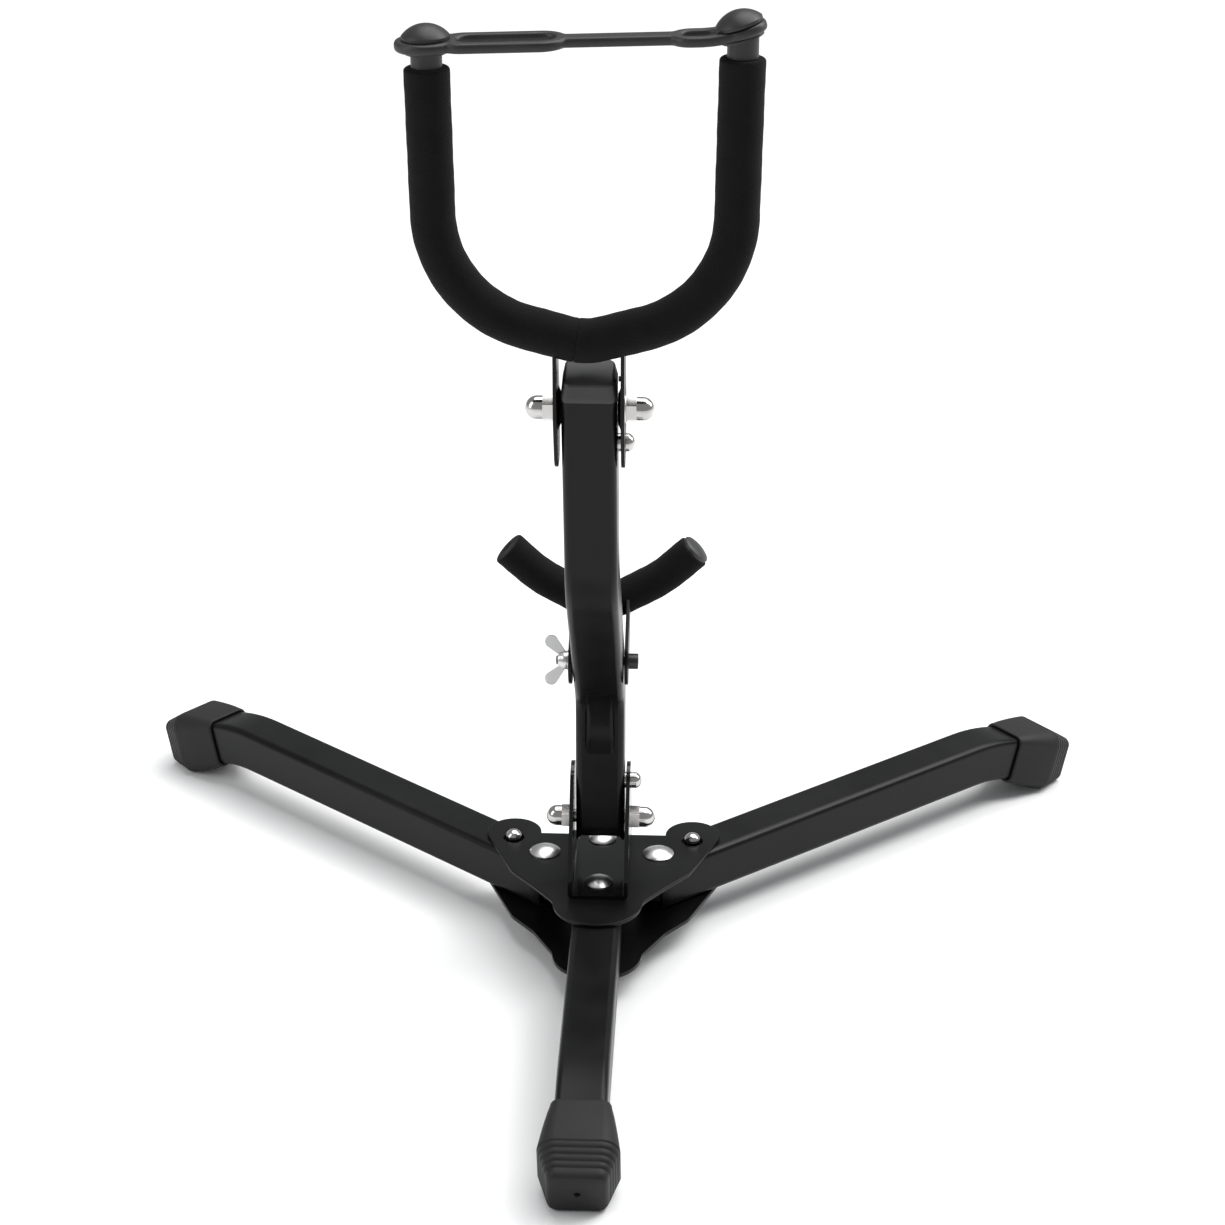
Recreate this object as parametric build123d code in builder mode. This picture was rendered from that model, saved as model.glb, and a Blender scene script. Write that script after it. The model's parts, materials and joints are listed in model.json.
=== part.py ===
from build123d import *

import os
from math import asin, atan2, cos, degrees, radians, sin, sqrt, tan

# Folding saxophone stand.
# The frame is +Z up with the origin on the floor, under the middle of the three feet.
# The single leg points along -Y, towards the player, and the cradle is on the +Y side.
# Millimetres and degrees.

# ---- square tube and plates ----
TUBE = 22.0
WALL = 1.2
TUBE_CORNER = 3.0
PLATE_THICK = 1.8
PLATE_TOP = 38.5
TUBE_GAP = 0.15
LEG_Z = PLATE_TOP - PLATE_THICK - TUBE_GAP - TUBE / 2
LOWER_PLATE_TOP = LEG_Z - TUBE / 2 - TUBE_GAP
LOWER_PLATE_BOTTOM = LOWER_PLATE_TOP - PLATE_THICK

# ---- plan of the hub ----
PIVOT_X = 26.5
PIVOT_Y = 27.8
REAR_EDGE = PIVOT_Y + 18.0
EAR_X = 42.2
EAR_Y = PIVOT_Y + 19.0
EAR_RADIUS = 12.8
EAR_TANGENT = 21.5
UPPER_LOBE_Y = PIVOT_Y - 45.4
LOWER_LOBE_Y = PIVOT_Y - 50.8
LOBE_RADIUS = 20.3
WAIST_BACK = (41.2, PIVOT_Y - 18.2)
WAIST_FRONT = (30.5, PIVOT_Y - 31.5)
WAIST_ROUND = 14.0
LOBE_ROUND = 12.0
BRACKET_RIVETS_Y = (PIVOT_Y - 30.6, PIVOT_Y + 10.2)

# ---- legs and rubber feet ----
SIDE_ANGLE = 50.3
SIDE_REACH = 259.0
FRONT_REACH = 229.0
BEND_RADIUS = 85.0
DROOP = 17.0
FOOT_LENGTH = 39.0
FOOT_FLARE = 23.5
FOOT_MOUTH = 25.0
FOOT_WIDE = 34.0
FOOT_TALL = 32.0
FOOT_CORNER = 8.0
FOOT_END = (23.8, 22.0)
FOOT_MOUTH_CORNER = 4.0
FOOT_END_CORNER = 3.5
FOOT_VENT = 1.3
FOOT_VENT_DEPTH = 4.0
SOCKET_DEPTH = 28.5
SOCKET_SLACK = 0.1
LEG_TIP = 28.0
FOOT_RUN = FOOT_LENGTH * cos(radians(DROOP))
BEND_RUN = BEND_RADIUS * sin(radians(DROOP))
MOUTH_Z = LEG_Z - BEND_RADIUS * (1 - cos(radians(DROOP)))
FRONT_LEG_BACK = 16.0

# ---- leg pivots and snap buttons ----
RIVET_SHANK = 4.0
RIVET_HOLE = 4.1
LEG_BORE = 4.1
RIVET_HEAD = 7.2
RIVET_RISE = 2.4
RIVET_RIM = 0.5
BRACKET_RIVET_HEAD = 6.5
LOW_HEAD = 6.5
LOW_RISE = 1.6
BUSH_SLACK = 0.1
LEG_BUSH = 5.5
BUTTON_REACH = 20.3
BUTTON_RADIUS = 3.7
BUTTON_BORE = 3.8
BUTTON_FLANGE = 5.2
FLANGE_THICK = 1.0
BUTTON_DOME = 2.4
PLATE_BUTTON_HOLE = 4.85
LEG_BUTTON_PROUD = 4.0
SPRING_THICK = 0.8
SPRING_WIDE = 7.0
SPRING_REACH = 24.0
SPRING_BACK = 4.5
SPRING_NEAR = 5.5
SPRING_TIP = 2.0
SPRING_ROUND = 1.6
SPRING_DEPTH = 17.4
SPRING_SEAT = 0.05

# ---- U bracket and the column's lower hinge ----
BRACKET_THICK = 1.8
BRACKET_INSIDE = 11.85
BRACKET_OUTSIDE = BRACKET_INSIDE + BRACKET_THICK
BRACKET_FRONT = PIVOT_Y - 43.3
BRACKET_BEND = 2.6
BRACKET_SKIRT = 9.0
BRACKET_CROWN = 12.5
HINGE_Y = 18.2
HINGE_Z = 63.3
COLUMN_BUTTON_RISE = 19.0
BRACKET_TOP = HINGE_Z + 27.3
BRACKET_BUTTON_HOLE = 4.3
COLUMN_BUTTON_TIP = 18.8
STUD = 3.0
STUD_BORE = 3.1
STUD_CHAMFER = 0.5
STUD_SHORT = 0.5
BUSH = 5.0

# ---- acorn nuts ----
NUT_FLATS = 10.0
NUT_HEX = 4.2
NUT_DOME = 4.75
NUT_LENGTH = 11.3
NUT_THREAD = 7.2
NUT_SLACK = 0.05
NUT_OVERLAP = 1.0

# ---- S-bent column ----
COLUMN_BELOW = TUBE / 2
LOWER_BEND = (HINGE_Y, 130.3)
UPPER_BEND = (-62.1, 219.1)
LOWER_BEND_RADIUS = 24.0
UPPER_BEND_RADIUS = 40.0
TOP_Y = -80.8
TOP_Z = 301.7
TOP_LENGTH = sqrt((TOP_Y - UPPER_BEND[0]) ** 2 + (TOP_Z - UPPER_BEND[1]) ** 2)
AXIS_Y = (TOP_Y - UPPER_BEND[0]) / TOP_LENGTH
AXIS_Z = (TOP_Z - UPPER_BEND[1]) / TOP_LENGTH
COLUMN_ABOVE = 9.3
DENT_WIDE = 13.5
DENT_RADIUS = 26.0
DENT_DEPTH = 3.2
DENT_ROUND = 2.5
DENT_DROP = 12.5
CAP_INSERT = 4.0
CAP_RIM = 1.6
CAP_RISE = 6.0
CAP_TOP = 19.6
CAP_ROUND = 1.2

# ---- yoke ----
YOKE_BUTTON_DROP = 16.2
YOKE_BUTTON_Y = TOP_Y - YOKE_BUTTON_DROP * AXIS_Y
YOKE_BUTTON_Z = TOP_Z - YOKE_BUTTON_DROP * AXIS_Z
YOKE_BUTTON_TIP = 18.0
CHEEK_INSIDE = 12.6
CHEEK_THICK = 1.5
CHEEK_BUTTON_HOLE = 4.3
CHEEK_ROD_EYE = 6.4
CHEEK_PIVOT_EYE = 12.4
CHEEK_BUTTON_EYE = 10.2
CHEEK_SLOT_GAP = 0.3
DISH_STEP = 1.3
DISH_FLAT = 6.2
DISH_EDGE = 9.2
DISH_LAP = 0.6
DISH_LEAN = 0.2
WASHER_THICK = 1.6
WASHER_RADIUS = 5.9
YOKE_X = -1.6
YOKE_Y = TOP_Y - 6.0
YOKE_BOTTOM = 331.1
YOKE_SLOPE = 15.0
YOKE_HALF = 57.8
YOKE_SPLAY = 1.6
YOKE_BEND = 48.0
YOKE_CENTRE_BEND = 25.0
YOKE_ROD = 4.0
FOAM_TOPS = (439.7, 444.7)
FOAM_RADIUS = 8.8
FOAM_BORE = 4.1
SLEEVES_MEET = -3.4
ROD_ABOVE_FOAM = 6.0
NUB_RISE = 12.5
NUB_RADIUS = 1.1
NUB_LENGTH = 1.2
WELD_GAP = 0.03
PLUG_BORE = YOKE_ROD + 0.15

# ---- rubber plugs and strap ----
PLUG_NECK = 6.0
NECK_HEIGHTS = (5.3, 7.0)
NECK_INTO_HEAD = 2.0
RIGHT_HEAD_TILT = 17.0
PLUG_FLANGE = 8.2
PLUG_FLANGE_THICK = 1.0
PLUG_GROOVE = 4.4
PLUG_GROOVE_RADIUS = 6.2
PLUG_HEAD = 9.2
PLUG_HEAD_RIM = 1.2
PLUG_HEAD_RISE = 4.4
FOAM_CLEAR = 0.3
STRAP_THICK = 4.0
STRAP_RINGS = (12.0, 9.2)
STRAP_KINK = 10.0
STRAP_LAP = 0.3
STRAP_HOLE = 6.4
LONG_LOOP = 53.4
LONG_LOOP_WIDE = 20.5
LOOP_BAND = 4.6
BAR_WIDE = 8.6
SHORT_LOOP = 28.0
SHORT_LOOP_WIDE = 17.0
LOOP_WEB = 5.0

# ---- cradle ----
CRADLE_BOLT_Y = -1.4
CRADLE_BOLT_Z = 152.2
CRADLE_Y = 20.6
CRADLE_BOTTOM = 168.0
CRADLE_KNEE = (27.5, 183.4)
CRADLE_TIP = (41.3, 196.4)
CRADLE_CENTRE_BEND = 20.0
CRADLE_KNEE_BEND = 60.0
CRADLE_ROD = 3.0
CRADLE_FOAM = 7.9
CRADLE_FOAM_BORE = 3.1
CRADLE_ROD_SHORT = 3.0
CRADLE_CHEEK_INSIDE = 11.6
CRADLE_CHEEK_THICK = 1.6
CRADLE_CHEEK_EYE = 10.5
CRADLE_CHEEK_HORN = 5.6
CRADLE_CAP_RADIUS = 6.9
CRADLE_CAP_SOCKET = 1.5
CRADLE_CAP_GAP = 0.1
CRADLE_CAP_RIM = 1.4
CRADLE_CAP_CHAMFER = 0.5
CRADLE_CAP_DOME = 1.2
CRADLE_CAP_BORE = CRADLE_ROD + 0.05
CRADLE_BOLT = 2.0
CRADLE_BORE = 2.1
CRADLE_BUSH = 3.6
SCREW_HEAD = 3.5
SCREW_HEAD_LENGTH = 4.2
HEX_KEY = 3.0
HEX_KEY_DEPTH = 2.2
SMALL_WASHER = 4.5
SMALL_WASHER_THICK = 0.6
WING_HUB = 4.2
WING_HUB_END = 3.3
WING_HUB_LENGTH = 4.0
WING_THICK = 1.4
WING_ROOT = (1.5, 2.6, 1.3)
WING_LOBE = (7.0, 8.4, 2.9)
WING_ANGLE = 12.0
THREAD_PAST_NUT = 0.9
HEAD_CHAMFER = 0.35
BOLT_CHAMFER = 0.3
SEAT_GAP = 0.1
WING_BASE = 1.2
WING_BORE = CRADLE_BOLT + 0.06

SIDES = {"left": -1, "right": 1}

os.makedirs("parts", exist_ok=True)


def keep(piece, name):
    """Label a finished piece and write it as its own file."""
    piece.part.label = name
    export_step(piece.part, f"parts/{name}.step")


def profile_plane(frame):
    """The plane through a frame's axis, with x outwards and y along the axis."""
    return Plane(origin=frame.origin, x_dir=frame.x_dir, z_dir=-frame.y_dir)


def axis_of(frame):
    """The frame's own axis."""
    return Axis(frame.origin, frame.z_dir)


def dome_middle(radius, rise):
    """Middle point of the arc from a dome's rim (radius, 0) to its top (0, rise)."""
    ball = (radius**2 + rise**2) / (2 * rise)
    half = asin(min(1.0, radius / ball)) / 2
    return ball * sin(half), rise - ball * (1 - cos(half))


def square_section(size, corner, wall):
    """A square tube's section, drawn in the open sketch."""
    RectangleRounded(size, size, corner)
    RectangleRounded(size - 2 * wall, size - 2 * wall, corner - wall, mode=Mode.SUBTRACT)


def offset_along(frame, distance):
    """The frame moved along its own axis."""
    return frame.offset(distance)


# ---- hub plates ----
def make_plate(bottom, lobe_y, button_holes):
    lean = radians(EAR_TANGENT)
    ear_tangent = (EAR_X + EAR_RADIUS * cos(lean), EAR_Y - EAR_RADIUS * sin(lean))
    right = [
        (EAR_X, REAR_EDGE),
        ear_tangent,
        WAIST_BACK,
        WAIST_FRONT,
        (LOBE_RADIUS, lobe_y),
    ]
    left = [(-x, y) for x, y in reversed(right)]
    ears = [(side * EAR_X, EAR_Y) for side in (-1, 1)]
    pivots = [(side * PIVOT_X, PIVOT_Y) for side in (-1, 1)]
    with BuildPart() as plate:
        with BuildSketch(Plane.XY.offset(bottom)) as outline:
            Polygon(*right, *left, align=None)
            waist = outline.vertices().filter_by_position(Axis.Y, lobe_y + 1, EAR_Y - EAR_RADIUS)
            fillet(waist, WAIST_ROUND)
            with Locations(*ears):
                Circle(EAR_RADIUS)
            with Locations((0, lobe_y)):
                Circle(LOBE_RADIUS)
            necks = outline.vertices().filter_by_position(Axis.Y, lobe_y - 1, lobe_y + 1)
            fillet(necks, LOBE_ROUND)
            with Locations(*pivots, *[(0, y) for y in BRACKET_RIVETS_Y]):
                Circle(RIVET_HOLE, mode=Mode.SUBTRACT)
            if button_holes:
                with Locations(*[button_spot(side)[:2] for side in (-1, 1)]):
                    Circle(PLATE_BUTTON_HOLE, mode=Mode.SUBTRACT)
        extrude(amount=PLATE_THICK)
    return plate


def leg_frame(side):
    """A leg's frame: origin on the floor under its pivot, x along the leg."""
    if side == 0:
        return Plane(origin=(0, PIVOT_Y, 0), x_dir=(0, -1, 0), z_dir=(0, 0, 1))
    along = (side * sin(radians(SIDE_ANGLE)), cos(radians(SIDE_ANGLE)), 0)
    return Plane(origin=(side * PIVOT_X, PIVOT_Y, 0), x_dir=along, z_dir=(0, 0, 1))


def button_spot(side):
    """Where a leg's snap button stands, as x, y, z of the tube's top face."""
    spot = leg_frame(side).from_local_coords((BUTTON_REACH, 0, LEG_Z + TUBE / 2))
    return spot.X, spot.Y, spot.Z


def mouth_reach(side):
    """How far from its pivot a leg enters its foot; the front leg is the short one."""
    return (FRONT_REACH if side == 0 else SIDE_REACH) - FOOT_RUN


def mouth_plane(side):
    """The plane of a foot's mouth, with its axis out along the drooping leg."""
    frame = leg_frame(side)
    out = frame.x_dir * cos(radians(DROOP)) - Vector(0, 0, 1) * sin(radians(DROOP))
    origin = frame.from_local_coords((mouth_reach(side), 0, MOUTH_Z))
    return Plane(origin=origin, x_dir=frame.y_dir, z_dir=out)


# ---- legs ----
def make_leg(side):
    frame = leg_frame(side)
    back = -FRONT_LEG_BACK if side == 0 else -TUBE / 2
    mouth = mouth_reach(side)
    bend = mouth - BEND_RUN
    half = radians(DROOP / 2)
    bend_middle = (bend + BEND_RADIUS * sin(half), LEG_Z - BEND_RADIUS * (1 - cos(half)))
    tip = (mouth + LEG_TIP * cos(radians(DROOP)), MOUTH_Z - LEG_TIP * sin(radians(DROOP)))
    start = frame.from_local_coords((back, 0, LEG_Z))
    with BuildPart() as leg:
        with BuildLine(profile_plane(frame)):
            Line((back, LEG_Z), (bend, LEG_Z))
            ThreePointArc((bend, LEG_Z), bend_middle, (mouth, MOUTH_Z))
            Line((mouth, MOUTH_Z), tip)
        with BuildSketch(Plane(origin=start, x_dir=frame.y_dir, z_dir=frame.x_dir)):
            square_section(TUBE, TUBE_CORNER, WALL)
        sweep()
        if side == 0:
            with BuildSketch(Plane.XY):
                with Locations(*[(0, y) for y in BRACKET_RIVETS_Y]):
                    Circle(LEG_BORE)
            extrude(amount=PLATE_TOP, mode=Mode.SUBTRACT)
        else:
            with BuildSketch(frame):
                with Locations((-TUBE / 2, 0)):
                    Rectangle(TUBE, TUBE + 1)
                Circle(TUBE / 2, mode=Mode.SUBTRACT)
            extrude(amount=PLATE_TOP, mode=Mode.SUBTRACT)
            with BuildSketch(frame):
                Circle(LEG_BORE)
            extrude(amount=PLATE_TOP, mode=Mode.SUBTRACT)
            with BuildSketch(offset_along(frame, LEG_Z)):
                with Locations((BUTTON_REACH, 0)):
                    Circle(BUTTON_BORE)
            extrude(amount=TUBE / 2, mode=Mode.SUBTRACT)
    return leg


def make_foot(side):
    mouth = mouth_plane(side)
    widest = mouth.offset(FOOT_FLARE)
    end = mouth.offset(FOOT_LENGTH)
    with BuildPart() as foot:
        with BuildSketch(mouth):
            RectangleRounded(FOOT_MOUTH, FOOT_MOUTH, FOOT_MOUTH_CORNER)
        with BuildSketch(widest):
            RectangleRounded(FOOT_WIDE, FOOT_TALL, FOOT_CORNER)
        loft(ruled=True)
        with BuildSketch(widest):
            RectangleRounded(FOOT_WIDE, FOOT_TALL, FOOT_CORNER)
        with BuildSketch(end):
            RectangleRounded(*FOOT_END, FOOT_END_CORNER)
        loft(ruled=True)
        with BuildSketch(mouth):
            RectangleRounded(TUBE + 2 * SOCKET_SLACK, TUBE + 2 * SOCKET_SLACK, TUBE_CORNER)
        extrude(amount=SOCKET_DEPTH, mode=Mode.SUBTRACT)
        with BuildSketch(end):
            Circle(FOOT_VENT)
        extrude(amount=-FOOT_VENT_DEPTH, mode=Mode.SUBTRACT)
        split(bisect_by=Plane.XY, keep=Keep.TOP)
    return foot


# ---- rivets, bushes, studs and nuts, each along a frame's axis ----
def make_rivet(frame, grip, head, rise):
    """A rivet from the frame's origin up: its grip between a low head and a domed head."""
    top = dome_middle(head, rise)
    low = dome_middle(LOW_HEAD, LOW_RISE)
    with BuildPart() as rivet:
        with BuildSketch(profile_plane(frame)):
            with BuildLine():
                ThreePointArc((0, -LOW_RISE), (low[0], -low[1]), (LOW_HEAD, 0))
                Polyline((LOW_HEAD, 0), (RIVET_SHANK, 0), (RIVET_SHANK, grip), (head, grip))
                Line((head, grip), (head, grip + RIVET_RIM))
                ThreePointArc(
                    (head, grip + RIVET_RIM),
                    (top[0], grip + RIVET_RIM + top[1]),
                    (0, grip + RIVET_RIM + rise),
                )
                Line((0, grip + RIVET_RIM + rise), (0, -LOW_RISE))
            make_face()
        revolve(axis=axis_of(frame))
    return rivet


def make_ring(frame, outside, inside, length):
    """A bush or washer from the frame's origin along its axis."""
    with BuildPart() as ring:
        with BuildSketch(frame):
            Circle(outside)
            Circle(inside, mode=Mode.SUBTRACT)
        extrude(amount=length)
    return ring


def make_stud(centre, half_length):
    """A threaded stud along X with chamfered ends."""
    with BuildPart() as stud:
        with BuildSketch(Plane.YZ.offset(-half_length)):
            with Locations(centre):
                Circle(STUD)
        extrude(amount=2 * half_length)
        chamfer(stud.edges().filter_by(GeomType.CIRCLE), STUD_CHAMFER)
    return stud


def make_acorn_nut(frame):
    """A hexagon nut with a domed cap, seated on the frame's origin."""
    with BuildPart() as nut:
        with BuildSketch(frame):
            RegularPolygon(NUT_FLATS / 2, 6, major_radius=False)
        extrude(amount=NUT_HEX)
        with BuildSketch(profile_plane(frame)):
            with BuildLine():
                rim = NUT_LENGTH - NUT_DOME
                corner = NUT_DOME * sin(radians(45))
                Polyline((0, NUT_HEX - NUT_OVERLAP), (NUT_DOME, NUT_HEX - NUT_OVERLAP), (NUT_DOME, rim))
                ThreePointArc((NUT_DOME, rim), (corner, rim + corner), (0, NUT_LENGTH))
                Line((0, NUT_LENGTH), (0, NUT_HEX - NUT_OVERLAP))
            make_face()
        revolve(axis=axis_of(frame))
        with BuildSketch(frame):
            Circle(STUD + NUT_SLACK)
        extrude(amount=NUT_THREAD, mode=Mode.SUBTRACT)
    return nut


def make_nut_pair(centre, seat):
    """Two acorn nuts, one on each end of a stud, as two solids of one node."""
    frames = [
        Plane(origin=(side * seat, *centre), x_dir=(0, 0, 1), z_dir=(side, 0, 0)) for side in (-1, 1)
    ]
    nuts = [make_acorn_nut(frame).part for frame in frames]
    with BuildPart() as pair:
        add(nuts)
    return pair


def make_button(frame, length):
    """A snap button: flange at the frame's origin, then a pin with a domed end."""
    middle = dome_middle(BUTTON_RADIUS, BUTTON_DOME)
    rim = length - BUTTON_DOME
    with BuildPart() as button:
        with BuildSketch(profile_plane(frame)):
            with BuildLine():
                Polyline(
                    (0, 0),
                    (BUTTON_FLANGE, 0),
                    (BUTTON_FLANGE, FLANGE_THICK),
                    (BUTTON_RADIUS, FLANGE_THICK),
                    (BUTTON_RADIUS, rim),
                )
                ThreePointArc((BUTTON_RADIUS, rim), (middle[0], rim + middle[1]), (0, length))
                Line((0, length), (0, 0))
            make_face()
        revolve(axis=axis_of(frame))
    return button


def make_spring(frame, depth):
    """A bent leaf spring: y is the button's axis, pointing out, and x runs away from the hinge."""
    top = -SPRING_THICK / 2 - SPRING_SEAT
    bottom = top - depth
    with BuildPart() as spring:
        with BuildSketch(frame):
            with BuildLine():
                FilletPolyline(
                    (-SPRING_BACK, top),
                    (SPRING_NEAR, top),
                    (SPRING_REACH, bottom),
                    (SPRING_TIP, bottom),
                    radius=SPRING_ROUND,
                )
            trace(line_width=SPRING_THICK)
        extrude(amount=SPRING_WIDE / 2, both=True)
    return spring


# ---- U bracket ----
def make_bracket():
    top_centre = (HINGE_Y, BRACKET_TOP - BRACKET_CROWN)
    with BuildPart() as bracket:
        with BuildSketch(Plane.XZ.offset(-REAR_EDGE)):
            with Locations((0, PLATE_TOP)):
                Rectangle(2 * BRACKET_OUTSIDE, 60, align=(Align.CENTER, Align.MIN))
            with Locations((0, PLATE_TOP + BRACKET_THICK)):
                Rectangle(2 * BRACKET_INSIDE, 60, align=(Align.CENTER, Align.MIN), mode=Mode.SUBTRACT)
        extrude(amount=REAR_EDGE - BRACKET_FRONT)
        along = bracket.edges().filter_by(Axis.Y)
        fillet(along.group_by(Axis.Z)[0], BRACKET_BEND)
        inner = bracket.edges().filter_by(Axis.Y).filter_by_position(
            Axis.X, -BRACKET_INSIDE - 0.1, BRACKET_INSIDE + 0.1
        )
        fillet(inner.group_by(Axis.Z)[1], BRACKET_BEND - BRACKET_THICK)
        with BuildSketch(Plane.YZ.offset(-BRACKET_OUTSIDE)):
            with BuildLine():
                CenterArc(top_centre, BRACKET_CROWN, 0, 360)
                Polyline(
                    (BRACKET_FRONT, PLATE_TOP + BRACKET_SKIRT),
                    (BRACKET_FRONT, PLATE_TOP),
                    (REAR_EDGE, PLATE_TOP),
                    (REAR_EDGE, PLATE_TOP + BRACKET_SKIRT),
                )
            make_hull()
        extrude(amount=2 * BRACKET_OUTSIDE, mode=Mode.INTERSECT)
        with BuildSketch(Plane.YZ.offset(-BRACKET_OUTSIDE)):
            with Locations((HINGE_Y, HINGE_Z)):
                Circle(STUD_BORE)
        extrude(amount=2 * BRACKET_OUTSIDE, mode=Mode.SUBTRACT)
        with BuildSketch(Plane.YZ):
            with Locations((HINGE_Y, HINGE_Z + COLUMN_BUTTON_RISE)):
                Circle(BRACKET_BUTTON_HOLE)
        extrude(amount=BRACKET_OUTSIDE, mode=Mode.SUBTRACT)
        with BuildSketch(Plane.XY):
            with Locations(*[(0, y) for y in BRACKET_RIVETS_Y]):
                Circle(RIVET_HOLE)
        extrude(amount=PLATE_TOP + BRACKET_THICK, mode=Mode.SUBTRACT)
    return bracket


# ---- column ----
def column_route():
    """The column's centre line, drawn in the open line on the YZ plane."""
    FilletPolyline(
        (HINGE_Y, HINGE_Z - COLUMN_BELOW),
        LOWER_BEND,
        UPPER_BEND,
        (TOP_Y + COLUMN_ABOVE * AXIS_Y, TOP_Z + COLUMN_ABOVE * AXIS_Z),
        radius=(LOWER_BEND_RADIUS, UPPER_BEND_RADIUS),
    )


def make_column_core(size, corner):
    """A solid bar of square section along the column's centre line."""
    with BuildPart() as core:
        with BuildLine(Plane.YZ):
            column_route()
        with BuildSketch(Plane.XY.offset(HINGE_Z - COLUMN_BELOW)):
            with Locations((0, HINGE_Y)):
                RectangleRounded(size, size, corner)
        sweep()
    return core


def make_dent(margin):
    """The rounded die that presses a dent under the lower bend, grown by a margin."""
    lean = atan2(LOWER_BEND[0] - UPPER_BEND[0], UPPER_BEND[1] - LOWER_BEND[1])
    crease_y = LOWER_BEND[0] - TUBE / 2
    crease_z = LOWER_BEND[1] - TUBE / 2 * tan(lean / 2)
    reach = DENT_RADIUS - DENT_DEPTH
    centre = (crease_y - reach, crease_z - DENT_DROP)
    with BuildPart() as dent:
        with BuildSketch(Plane.YZ):
            with Locations(centre):
                Circle(DENT_RADIUS + margin)
        extrude(amount=DENT_WIDE / 2 + margin, both=True)
        fillet(dent.edges(), DENT_ROUND)
    return dent


def make_column():
    bar = make_column_core(TUBE, TUBE_CORNER).part
    hollow = make_column_core(TUBE - 2 * WALL, TUBE_CORNER - WALL).part - make_dent(WALL).part
    with BuildPart() as column:
        add(bar)
        add(make_dent(0).part, mode=Mode.SUBTRACT)
        add(hollow, mode=Mode.SUBTRACT)
        with BuildSketch(Plane.YZ.offset(-TUBE)):
            with Locations((HINGE_Y, HINGE_Z - TUBE / 2)):
                Rectangle(TUBE + 1, TUBE)
            with Locations((HINGE_Y, HINGE_Z)):
                Circle(TUBE / 2, mode=Mode.SUBTRACT)
        extrude(amount=2 * TUBE, mode=Mode.SUBTRACT)
        with BuildSketch(Plane.YZ.offset(-TUBE)):
            with Locations((HINGE_Y, HINGE_Z), (TOP_Y, TOP_Z)):
                Circle(STUD_BORE)
            with Locations((CRADLE_BOLT_Y, CRADLE_BOLT_Z)):
                Circle(CRADLE_BORE)
        extrude(amount=2 * TUBE, mode=Mode.SUBTRACT)
        with BuildSketch(Plane.YZ):
            with Locations((HINGE_Y, HINGE_Z + COLUMN_BUTTON_RISE), (YOKE_BUTTON_Y, YOKE_BUTTON_Z)):
                Circle(BUTTON_BORE)
        extrude(amount=TUBE, mode=Mode.SUBTRACT)
    return column


def make_column_cap():
    top = Plane(
        origin=(0, TOP_Y + COLUMN_ABOVE * AXIS_Y, TOP_Z + COLUMN_ABOVE * AXIS_Z),
        x_dir=(1, 0, 0),
        z_dir=(0, AXIS_Y, AXIS_Z),
    )
    inside = TUBE - 2 * WALL - 2 * SOCKET_SLACK
    with BuildPart() as cap:
        with BuildSketch(top):
            RectangleRounded(TUBE, TUBE, TUBE_CORNER)
        extrude(amount=CAP_RIM)
        with BuildSketch(top.offset(CAP_RIM)):
            RectangleRounded(TUBE, TUBE, TUBE_CORNER)
        with BuildSketch(top.offset(CAP_RIM + CAP_RISE)):
            RectangleRounded(CAP_TOP, CAP_TOP, TUBE_CORNER)
        loft(ruled=True)
        fillet(cap.faces().sort_by(Axis(top.origin, top.z_dir))[-1].edges(), CAP_ROUND)
        with BuildSketch(top):
            RectangleRounded(inside, inside, TUBE_CORNER - WALL)
        extrude(amount=-CAP_INSERT)
    return cap


# ---- yoke ----
def yoke_route(above):
    """The U's centre line, running up each arm to its foam's top and a bit above."""
    rise = YOKE_HALF * tan(radians(YOKE_SLOPE))
    FilletPolyline(
        (-YOKE_HALF - YOKE_SPLAY, FOAM_TOPS[0] + above),
        (-YOKE_HALF, YOKE_BOTTOM + rise),
        (0, YOKE_BOTTOM),
        (YOKE_HALF, YOKE_BOTTOM + rise),
        (YOKE_HALF + YOKE_SPLAY, FOAM_TOPS[1] + above),
        radius=(YOKE_BEND, YOKE_CENTRE_BEND, YOKE_BEND),
    )


def yoke_plane():
    return Plane(origin=(YOKE_X, YOKE_Y, 0), x_dir=(1, 0, 0), z_dir=(0, -1, 0))


def arm_top(side, above):
    """The middle of an arm at its foam's top, and a bit above."""
    foam_top = FOAM_TOPS[0] if side < 0 else FOAM_TOPS[1]
    return YOKE_X + side * (YOKE_HALF + YOKE_SPLAY), YOKE_Y, foam_top + above


def arm_end_plane(above):
    """The section plane at the start of the U's centre line."""
    with BuildLine(yoke_plane(), mode=Mode.PRIVATE) as route:
        yoke_route(above)
    line = route.wires()[0]
    return Plane(origin=line @ 0, x_dir=(0, 1, 0), z_dir=line % 0)


def make_yoke_rod(radius):
    with BuildPart() as rod:
        with BuildLine(yoke_plane()):
            yoke_route(ROD_ABOVE_FOAM)
        with BuildSketch(arm_end_plane(ROD_ABOVE_FOAM)):
            Circle(radius)
        sweep()
    return rod


def rod_height(x):
    """Height of the U's sloping foot at a distance from its middle."""
    return YOKE_BOTTOM + abs(x - YOKE_X) * tan(radians(YOKE_SLOPE))


def cheek_outline(side, margin):
    """The cheek plate's outline in YZ, grown by a margin, drawn in the open sketch."""
    with BuildLine() as rims:
        CenterArc((YOKE_Y, rod_height(side * CHEEK_INSIDE)), CHEEK_ROD_EYE + margin, 0, 360)
        CenterArc((TOP_Y, TOP_Z), CHEEK_PIVOT_EYE + margin, 0, 360)
        CenterArc((YOKE_BUTTON_Y, YOKE_BUTTON_Z), CHEEK_BUTTON_EYE + margin, 0, 360)
    make_hull(rims.edges())


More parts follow.
